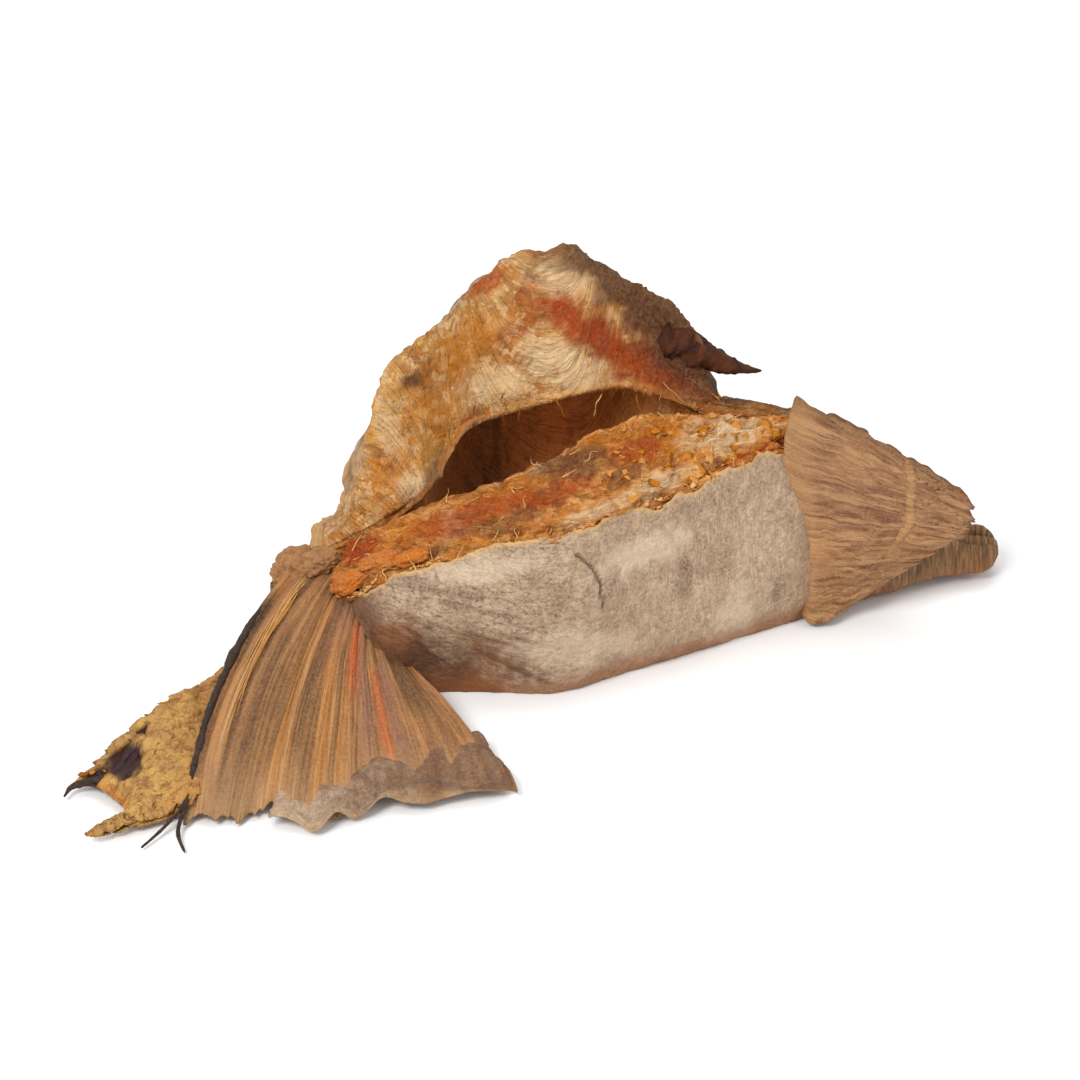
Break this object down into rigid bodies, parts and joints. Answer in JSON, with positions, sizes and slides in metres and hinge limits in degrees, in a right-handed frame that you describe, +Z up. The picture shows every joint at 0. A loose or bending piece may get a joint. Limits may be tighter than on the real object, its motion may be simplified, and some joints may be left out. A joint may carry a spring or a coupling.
{
  "type": "stockfish collar",
  "caption": "Air-dried cod collar folded into a cupped shape, with a grey skin band, thick amber meat, a rear flap over a hollow, fanned side fins and a torn bone plate.",
  "frame": {"origin": "bottom centre of the bounding box of the piece as it rests on a table", "axes": "+X runs along the skin band towards the right fin, +Y points away from the viewer towards the rear flap, +Z is up"},
  "size_m": [0.2146, 0.1484, 0.0847],
  "materials": {
    "dried_fish": "matte, leathery, with a slight oily sheen on the meat"
  },
  "bodies": {
    "root": {"stockfish": "dried_fish"}
  },
  "joints": []
}
